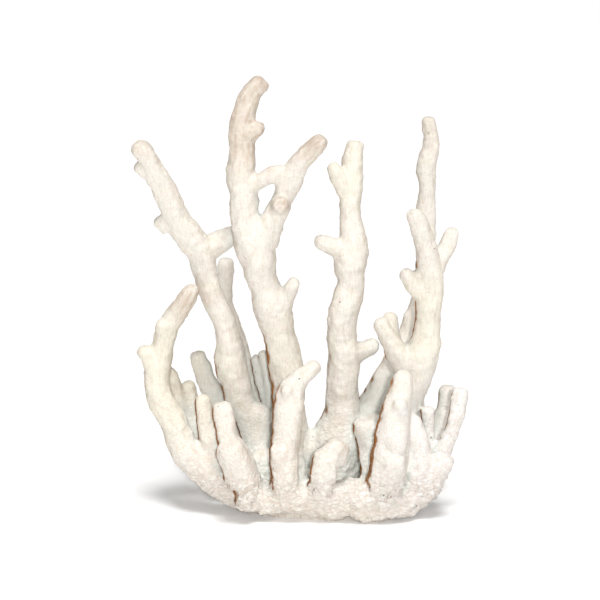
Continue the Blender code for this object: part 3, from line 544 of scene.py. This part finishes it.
nub, nub_share = spotted("Nub Spacing", "Nub Width", seed=1)
pit, _ = spotted("Pit Spacing", "Pit Width", seed=2)
height = wire.made("ShaderNodeSeparateXYZ", {"Vector": place}, key="Z")
crust = 1.0 - height.step(*(share * given["Crust Top"] for share in CRUST_FADE))
rough = wire.made("ShaderNodeTexNoise", {
    "Vector": place, "Scale": CRUST_FINENESS / given["Fine Lump Size"], "Detail": 4.0,
    "Roughness": 0.7, "Distortion": 0.6}) - 0.5
warp = wire.made("ShaderNodeTexNoise", {
    "Vector": place, "Scale": WARP_FINENESS / given["Pillow Size"], "Detail": 1.0}, key="Color")
warped = wire.vector("ADD", place, wire.vector("SCALE", warp, given["Pillow Size"] * WARP_REACH))
pillow = wire.made("ShaderNodeTexVoronoi", {
    "Vector": wire.vector("MULTIPLY", warped, PILLOW_SQUASH),
    "Scale": 1.0 / given["Pillow Size"]}, {"feature": "DISTANCE_TO_EDGE"}).step(0.0, PILLOW_RIM)
pillow_share = crust * (1.0 - PILLOWS_ON_LIMBS) + PILLOWS_ON_LIMBS
lift = (fine * given["Fine Lump Height"] * 2.0 + streak * given["Ridge Height"] * 2.0
        + nub * nub_share * given["Nub Height"] - pit * given["Pit Depth"]
        + crust * rough * given["Crust Height"] * 2.0
        + pillow_share * (pillow - 1.0) * given["Pillow Height"])
skin = given["Geometry"]
# The hollows, creases and pits stored here also set where shade is painted into the colour.
for name, value in (("streak", streak), ("pit", pit), ("crust", crust),
                    ("hollow", (fine + crust * rough * CRUST_HOLLOWS) * -1.0),
                    ("crease", (1.0 - pillow) * pillow_share)):
    skin = wire.made("GeometryNodeStoreNamedAttribute", {
        "Geometry": skin, "Name": name, "Value": value})
skin = wire.made("GeometryNodeSetPosition", {
    "Geometry": skin, "Offset": wire.vector("SCALE", facing, lift)})

# Rays from each place, spread evenly about its normal, tell how near other coral is.
turned = wire.made("FunctionNodeAlignRotationToVector", {"Vector": facing}, {"axis": "Z"})
outside = wire.vector("ADD", place, wire.vector("SCALE", facing, RAY_START * MM))


def cast(ray, reach):
    """Whether a ray from the skin meets other coral within its reach, and how far off."""
    node = wire.node("GeometryNodeRaycast", {
        "Target Geometry": skin, "Source Position": outside, "Ray Direction": ray,
        "Ray Length": given[reach]})
    return wire.out(node, "Is Hit"), wire.out(node, "Hit Distance")


# These nearnesses set where shade is painted: amber in crevices, pale grey-green where sheltered.
crevice = shelter = 0.0
for tilt in RAY_TILTS:
    for k in range(RAYS_PER_TILT):
        turn = math.tau * (k + tilt / RAY_TWIST) / RAYS_PER_TILT
        ray = Vector((math.cos(turn) * math.sin(math.radians(tilt)),
                      math.sin(turn) * math.sin(math.radians(tilt)), math.cos(math.radians(tilt))))
        ray = wire.made("FunctionNodeRotateVector", {"Vector": ray, "Rotation": turned})
        hit, away = cast(ray, "Far Reach")
        crevice += hit * wire.math("MAXIMUM", 1.0 - away / given["Near Reach"], 0.0)
        shelter += hit * (1.0 - away / given["Far Reach"])

# Low down, the left flanks of limbs that have other coral close behind them on that
# side get a painted shadow line: a thin stripe of amber shade along the limb's left edge.
coral_behind_left = 0.0
for turn, tilt in SHADOW_LINE_RAYS:
    ray = Vector((-math.cos(turn) * math.cos(tilt), math.sin(turn) * math.cos(tilt),
                  math.sin(tilt)))
    coral_behind_left += cast(ray, "Shadow Line Reach")[0] * (1.0 / len(SHADOW_LINE_RAYS))
leftward = wire.vector("DOT_PRODUCT", facing, LEFT, key="Value")
rearward = wire.vector("DOT_PRODUCT", facing, REAR, key="Value")
beneath = 1.0 - height.step(given["Shadow Line Bottom"], given["Shadow Line Top"])
shadow_line_mask = coral_behind_left * beneath * leftward.step(*LEFT_FADE) * (1.0 - rearward.step(*REAR_FADE))
rays = len(RAY_TILTS) * RAYS_PER_TILT
for name, value, count in (("crevice", crevice, rays), ("shelter", shelter, rays),
                           ("flank", leftward, 1), ("silt", shadow_line_mask, 1)):
    value = wire.made("GeometryNodeBlurAttribute", {
        "Value": value * (1.0 / count), "Iterations": SHELTER_BLUR})
    skin = wire.made("GeometryNodeStoreNamedAttribute", {
        "Geometry": skin, "Name": name, "Value": value})
finish_tree(wire, skin)
add_tree(skeleton, wire, {label: value * MM for label, value in SKIN.items()}
         | {"Limb Paths": limb_paths, "Seed": SEED})
mesh = baked(skeleton)
bpy.data.objects.remove(limb_paths)


# The coral was sawn off its rock, so its foot is cut off flat and stands on the cut.
# The skeleton is then parted where the solid model is, so that each limb is a piece
# of its own. A piece is closed inside the fork, where nobody sees it.
FLAT = 0.01
REGROUPING_ROUNDS = 3
SHADES = ("streak", "pit", "crust", "hollow", "crease", "crevice", "shelter", "flank", "silt")

work = bmesh.new()
work.from_mesh(mesh)
bmesh.ops.bisect_plane(work, geom=work.verts[:] + work.edges[:] + work.faces[:],
                       plane_co=(0, 0, 0), plane_no=(0, 0, -1), clear_outer=True)
bmesh.ops.holes_fill(work, edges=[edge for edge in work.edges if edge.is_boundary])
for face in work.faces:
    face.smooth = True
    if all(vertex.co.z < FLAT * MM for vertex in face.verts):
        for edge in face.edges:
            edge.smooth = False
work.to_mesh(mesh)
work.free()

faces = [tuple(face.vertices) for face in mesh.polygons]
centres = [face.center.copy() for face in mesh.polygons]
first_corner = [face.loop_start for face in mesh.polygons]
normals = [corner.vector.copy() for corner in mesh.corner_normals]
places = [vertex.co.copy() for vertex in mesh.vertices]
shades = {name: np.zeros(len(places), np.float32) for name in SHADES}
for name, values in shades.items():
    mesh.attributes[name].data.foreach_get("value", values)

nodes = sorted(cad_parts)
solid_places, solid_faces, owner = [], [], []
for number, node in enumerate(nodes):
    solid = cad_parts[node].data
    solid_faces += [[len(solid_places) + k for k in face.vertices] for face in solid.polygons]
    owner += [number] * len(solid.polygons)
    solid_places += [vertex.co for vertex in solid.vertices]
solids = BVHTree.FromPolygons(solid_places, solid_faces)
owners = [owner[solids.find_nearest(centre)[2]] for centre in centres]

# A patch that is cut off from the rest of its limb goes to the limb that it lies on.
beside = {}
for number, face in enumerate(faces):
    for k in range(len(face)):
        beside.setdefault(frozenset((face[k - 1], face[k])), []).append(number)
neighbours = [[] for _ in faces]
for pair in beside.values():
    if len(pair) == 2:
        neighbours[pair[0]].append(pair[1])
        neighbours[pair[1]].append(pair[0])
for _ in range(REGROUPING_ROUNDS):
    patches = {}
    seen = [False] * len(faces)
    for number in range(len(faces)):
        if seen[number]:
            continue
        seen[number] = True
        patch = [number]
        for face in patch:
            for other in neighbours[face]:
                if not seen[other] and owners[other] == owners[number]:
                    seen[other] = True
                    patch.append(other)
        patches.setdefault(owners[number], []).append(patch)
    for own, group in patches.items():
        for patch in sorted(group, key=len)[:-1]:
            around = [owners[other] for face in patch for other in neighbours[face]
                      if owners[other] != own]
            if around:
                for face in patch:
                    owners[face] = max(set(around), key=around.count)

members = [[] for _ in nodes]
for number, own in enumerate(owners):
    members[own].append(number)
for node, own_faces in zip(nodes, members):
    index = {}
    piece_faces, piece_normals, edges = [], [], {}
    for number in own_faces:
        face = faces[number]
        piece_faces.append([index.setdefault(vertex, len(index)) for vertex in face])
        piece_normals += normals[first_corner[number]:first_corner[number] + len(face)]
        for k in range(len(face)):
            edges[face[k - 1], face[k]] = True
    source = list(index)
    piece_places = [places[vertex] for vertex in source]
    shade = {name: list(values[source]) for name, values in shades.items()}

    rim = {b: a for a, b in edges if (b, a) not in edges}
    while rim:
        start, vertex = rim.popitem()
        loop = [start, vertex]
        while loop[-1] in rim:
            loop.append(rim.pop(loop[-1]))
        loop = loop[:-1]
        centre = sum((places[vertex] for vertex in loop), Vector()) / len(loop)
        for k in range(len(loop)):
            piece_faces.append([index[loop[k - 1]], index[loop[k]], len(piece_places)])
            one, other = places[loop[k - 1]], places[loop[k]]
            piece_normals += [(other - one).cross(centre - one).normalized()] * 3
        piece_places.append(centre)
        for name in shade:
            shade[name].append(0.0)

    piece_mesh = bpy.data.meshes.new(node + "_coral")
    piece_mesh.from_pydata(piece_places, [], piece_faces)
    for name, values in shade.items():
        layer = piece_mesh.attributes.new(name, "FLOAT", "POINT")
        layer.data.foreach_set("value", np.array(values, np.float32))
    piece_mesh.shade_smooth()
    piece_mesh.normals_split_custom_set(piece_normals)
    piece_mesh.materials.append(coral)
    piece = bpy.data.objects.new(node + "_coral", piece_mesh)
    bpy.context.scene.collection.objects.link(piece)
    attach(piece, "root")
    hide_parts(node)
bpy.data.meshes.remove(mesh)


# Dry coral limestone is a dull warm ivory with pink and yellow clouds, a sandy grain,
# fine fibres and wrinkles, a paler crust at the foot, and dusty where it is weathered.
# Shade is painted into the colour as well: pale grey-green where the coral is sheltered,
# amber in crevices, darker in hollows, creases, wrinkle grooves, pits and on its sides,
# and an amber to umber shadow line on low left flanks. A knob has a painted highlight.
IVORY = (0.755, 0.72, 0.655, 1.0)
PINK = (0.755, 0.69, 0.635, 1.0)
YELLOW = (0.76, 0.72, 0.605, 1.0)
CHALK = (0.775, 0.755, 0.735, 1.0)
PALE_CRUST = (0.86, 0.83, 0.775, 1.0)
GREY_GREEN = (0.80, 0.83, 0.79, 1.0)
SAND_PINK_AND_SHADE = (0.60, 0.44, 0.35, 1.0)
SAND_GREEN_AND_SHADE = (0.52, 0.56, 0.44, 1.0)
AMBER_SHADE = (0.36, 0.125, 0.005, 1.0)
UMBER_SHADE = (0.075, 0.024, 0.006, 1.0)
DUSTY_AND_SHADE = (0.47, 0.36, 0.27, 1.0)
PIT_SHADE = (0.16, 0.11, 0.08, 1.0)
CLOUD_SIZE = 14.0
YELLOW_CLOUD_SIZE = 7.7
SAND_SIZE = 1.2
COARSE_SIZE = 2.4
GRAIN_SIZE = 0.9
PORE_SPACING = 1.8
WORN_SIZE = 3.0
SHADOW_LINE_BREAKUP_SIZE = 5.0
SHADOW_MOTTLE_SIZE = 9.0
HOLE_SIZE = 1.6
WRINKLE_SIZE = 4.6
WRINKLE_BEND = 1.3
WRINKLE_SQUASH = (1.0, 1.0, 1.7)
BEND_FINENESS = 0.7
FIBRE_WIDTH = 1.3
FIBRE_STRETCH = 6.0
FINGERS_BOTTOM = 45.0
FINGERS_TOP = 110.0
PLACE_CORE = 0.35
BUMP_DEPTH = 0.35
DULLNESS = 0.78
GLOSS = 0.25
WEATHERED = (((-38.0, 0.0, 285.0), 62.0, 0.85), ((9.0, -9.0, 262.0), 28.0, 0.75),
             ((-79.0, -12.0, 150.0), 24.0, 0.8), ((-13.8, -23.0, 219.3), 8.5, 0.9),
             ((-110.0, -10.0, 258.0), 22.0, 0.4), ((88.0, 54.0, 262.0), 30.0, 0.3))
# Paler places. The first, on the knob of a front finger, is a painted highlight.
CHALKY_AND_HIGHLIGHT = (((68.0, -54.0, 81.5), 8.0, 1.0), ((84.0, -38.0, 44.0), 62.0, 0.8),
          ((20.0, -48.0, 34.0), 26.0, 0.6), ((110.0, -18.0, 84.0), 34.0, 0.9))
YELLOWED = (((-98.0, -16.0, 96.0), 64.0, 0.8), ((88.0, -12.0, 138.0), 46.0, 0.6),
            ((34.0, 6.0, 238.0), 40.0, 0.5), ((14.0, -44.0, 8.0), 60.0, 0.5),
            ((-8.0, -8.0, 110.0), 40.0, 0.4))
# A painted hole: a dark patch of shade where the coral has no hole.
PAINTED_HOLES = (((57.4, -58.0, 22.4), 6.0, 1.0),)
# Places whose left flanks also get the painted shadow line: right, up and back, and reach.
SHADOW_LINE_PLACES = [(placed(right, up, back)[0], reach, 1.0) for right, up, back, reach in (
    (80.0, 142.0, -8.0, 28.0), (83.0, 177.0, -10.0, 10.0), (60.0, 110.0, -12.0, 16.0),
    (102.0, 70.0, -22.0, 30.0), (77.0, 48.0, -38.0, 16.0), (-64.0, 82.0, -18.0, 12.0))]

coral.use_nodes = True
coral.node_tree.nodes.clear()
paint = Wire(coral.node_tree)
here = paint.made("ShaderNodeTexCoord", key="Object")


def noise(size, detail=2.0, roughness=0.5, at=here, key=0):
    """Cloudy noise of a size, or with the key "Color" three of them as a vector."""
    return paint.made("ShaderNodeTexNoise", {
        "Vector": at, "Scale": 1.0 / (size * MM), "Detail": detail, "Roughness": roughness},
        key=key)


def shade_of(name):
    """A value that the skin's tree has stored."""
    return paint.made("ShaderNodeAttribute", None, {"attribute_name": name}, key="Fac")


def mix(factor, one, other):
    """One colour, turning into the other as the factor rises to 1."""
    return paint.made("ShaderNodeMix", {0: factor, 6: one, 7: other}, {"data_type": "RGBA"},
                      key=2)


def near(places):
    """1 round the places, falling to 0 at the reach of each, times its strength."""
    share = 0.0
    for place, reach, strength in places:
        away = paint.vector("DISTANCE", here, Vector(place) * MM, key="Value")
        share = paint.math("MAXIMUM", share,
                           away.step(reach * MM, PLACE_CORE * reach * MM) * strength)
    return share


level = paint.made("ShaderNodeSeparateXYZ", {"Vector": here}, key="Z")
low = level.step(FINGERS_TOP * MM, FINGERS_BOTTOM * MM)
sand = noise(SAND_SIZE, 3.0, 0.6)
coarse = noise(COARSE_SIZE, 4.0, 0.75)
fibre = noise(FIBRE_WIDTH, 3.0, 0.6,
              at=paint.vector("MULTIPLY", here, (1.0, 1.0, 1.0 / FIBRE_STRETCH)))
bend = noise(WRINKLE_SIZE / BEND_FINENESS, 3.0, key="Color")
bent = paint.vector("ADD", here, paint.vector("SCALE", bend, WRINKLE_BEND * WRINKLE_SIZE * MM))
wrinkle = paint.made("ShaderNodeTexVoronoi", {
    "Vector": paint.vector("MULTIPLY", bent, WRINKLE_SQUASH),
    "Scale": 1.0 / (WRINKLE_SIZE * MM)}, {"feature": "DISTANCE_TO_EDGE"}).step(0.16, 0.0)
worn = (noise(WORN_SIZE, 4.0, 0.7).step(0.2, 0.6) + shade_of("streak").step(0.12, -0.12)) * 0.5
# The painted shadow line, broken up by noise, turns from amber to umber shade low down and in
# crevices.
placed_shadow_line = near(SHADOW_LINE_PLACES) * shade_of("flank").step(0.84, 0.95) * 0.55
silt = paint.math("MAXIMUM", shade_of("silt"), placed_shadow_line)
silt = (silt + noise(SHADOW_LINE_BREAKUP_SIZE, 5.0, 0.7) * 0.7 - 0.35).step(0.06, 0.46)
darker_shadow = (low * 0.35 + shade_of("crevice").step(0.12, 0.4) * 0.3
        + noise(SHADOW_MOTTLE_SIZE).step(0.42, 0.6) * 0.3)
# Painted shade: dark brown in the skin's pits and in the painted hole.
painted_holes = near(PAINTED_HOLES) * noise(HOLE_SIZE).step(0.55, 0.6)
pits = paint.math("MAXIMUM", shade_of("pit").step(0.2, 0.8), painted_holes)

# Each tint lies over those before it: where it shows, how strongly, and its colour.
colour = IVORY
for share, strength, tint in (
        (noise(CLOUD_SIZE).step(0.48, 0.68), 0.6, PINK),
        (noise(YELLOW_CLOUD_SIZE, 3.0).step(0.54, 0.72), 0.5, YELLOW),
        (near(YELLOWED), 1.0, YELLOW),
        (shade_of("crust"), 0.65, PALE_CRUST),
        (near(CHALKY_AND_HIGHLIGHT), 1.0, CHALK),
        (near(WEATHERED), worn, DUSTY_AND_SHADE),
        (sand.step(0.47, 0.30), 0.4, SAND_PINK_AND_SHADE),
        (coarse.step(0.47, 0.30), 0.35, SAND_GREEN_AND_SHADE),
        # Partly a wrinkle pattern, partly painted shade darkening the wrinkles' grooves.
        (wrinkle, low * 0.2 + 0.06, SAND_PINK_AND_SHADE),
        (fibre.step(0.54, 0.34), 0.22 - low * 0.16, DUSTY_AND_SHADE),
        # Painted shade in the creases between the crust's pillows and in the skin's hollows.
        (shade_of("crease").step(0.2, 1.0), 0.2, SAND_PINK_AND_SHADE),
        (shade_of("hollow").step(0.02, 0.22), 0.2, SAND_GREEN_AND_SHADE),
        # Painted shade: darker and browner on the sides that face left, less on those that face
        # right.
        (shade_of("flank").step(0.62, 0.96), 0.4, DUSTY_AND_SHADE),
        (shade_of("flank").step(-0.7, -0.98), 0.2, DUSTY_AND_SHADE),
        (shade_of("streak").step(-0.02, -0.22), 0.25, DUSTY_AND_SHADE),
        # Painted shade: the pale grey-green of shaded coral where it is sheltered, lighter than the
        # ivory.
        (shade_of("shelter").step(0.24, 0.62), 0.65, GREY_GREEN),
        # Painted shade: amber in the crevices, where other coral is close.
        (shade_of("crevice").step(0.32, 0.8), 0.8, AMBER_SHADE),
        # Painted shade: the amber to umber shadow line on left flanks.
        (silt, coarse.step(0.3, 0.6) * 0.25 + 0.75, mix(darker_shadow, AMBER_SHADE, UMBER_SHADE)),
        (pits, 1.0, PIT_SHADE)):
    colour = mix(share * strength, colour, tint)

pores = paint.made("ShaderNodeTexVoronoi", {
    "Vector": here, "Scale": 1.0 / (PORE_SPACING * MM)})
relief = (noise(GRAIN_SIZE, 3.0, 0.7) * 0.6 + coarse * 0.9 + pores.step(0.0, 0.35) * 0.4
          + fibre * (1.0 - low) * 0.6 - wrinkle * low * 0.5)
bump = paint.made("ShaderNodeBump", {
    "Height": relief, "Strength": 1.0,
    "Distance": (BUMP_DEPTH + shade_of("crust") * BUMP_DEPTH) * MM})
finish = paint.node("ShaderNodeBsdfPrincipled", {
    "Base Color": colour, "Roughness": DULLNESS + sand * 0.2, "Normal": bump,
    "Specular IOR Level": GLOSS})
paint.node("ShaderNodeOutputMaterial", {"Surface": paint.out(finish)})


# The coral stands loose on a plain pale floor. A small lamp by the camera lights it
# almost head on. A soft sun high above and a pale surrounding do the rest, and the
# coral's shadow lies soft about its foot.
FLOOR_WIDTH = 24000.0
LAMP_DISTANCE = 2400.0
LAMP_WIDTH = 120.0
SUN_SPREAD = 20.0
FLOOR_SHADE = (0.98, 0.98, 0.98, 1.0)
FLOOR_ROUGHNESS = 0.9
SURROUNDING_POWER = 0.34

floor_mesh = bpy.data.meshes.new("floor")
half = FLOOR_WIDTH * MM / 2
floor_mesh.from_pydata([(-half, -half, 0), (half, -half, 0), (half, half, 0), (-half, half, 0)],
                       [], [(0, 1, 2, 3)])
floor = bpy.data.objects.new("floor", floor_mesh)
bpy.context.scene.collection.objects.link(floor)
pale = bpy.data.materials.new("pale_floor")
pale.use_nodes = True
floor_finish = pale.node_tree.nodes["Principled BSDF"]
floor_finish.inputs["Base Color"].default_value = FLOOR_SHADE
floor_finish.inputs["Roughness"].default_value = FLOOR_ROUGHNESS
floor_mesh.materials.append(pale)


def add_light(name, kind, power, turn, height):
    """A light that faces the coral, turned to the right of the camera and raised."""
    lamp = bpy.data.objects.new(name, bpy.data.lights.new(name, kind))
    lamp.data.energy = power
    turn, height = math.radians(turn), math.radians(height)
    way = Vector((math.sin(turn) * math.cos(height), -math.cos(turn) * math.cos(height),
                  math.sin(height)))
    lamp.location = (AIM + way * LAMP_DISTANCE) * MM
    lamp.rotation_euler = way.to_track_quat("Z", "Y").to_euler()
    bpy.context.scene.collection.objects.link(lamp)
    return lamp.data


lamp = add_light("lamp_by_camera", "AREA", power=29.0, turn=3.0, height=17.0)
lamp.size = LAMP_WIDTH * MM
sun = add_light("light_above", "SUN", power=2.35, turn=12.0, height=78.0)
sun.angle = math.radians(SUN_SPREAD)
world = bpy.data.worlds.new("pale_surrounding")
world.use_nodes = True
background = world.node_tree.nodes["Background"]
background.inputs["Color"].default_value = (1.0, 1.0, 1.0, 1.0)
background.inputs["Strength"].default_value = SURROUNDING_POWER
bpy.context.scene.world = world
bpy.context.scene.view_settings.view_transform = "Standard"
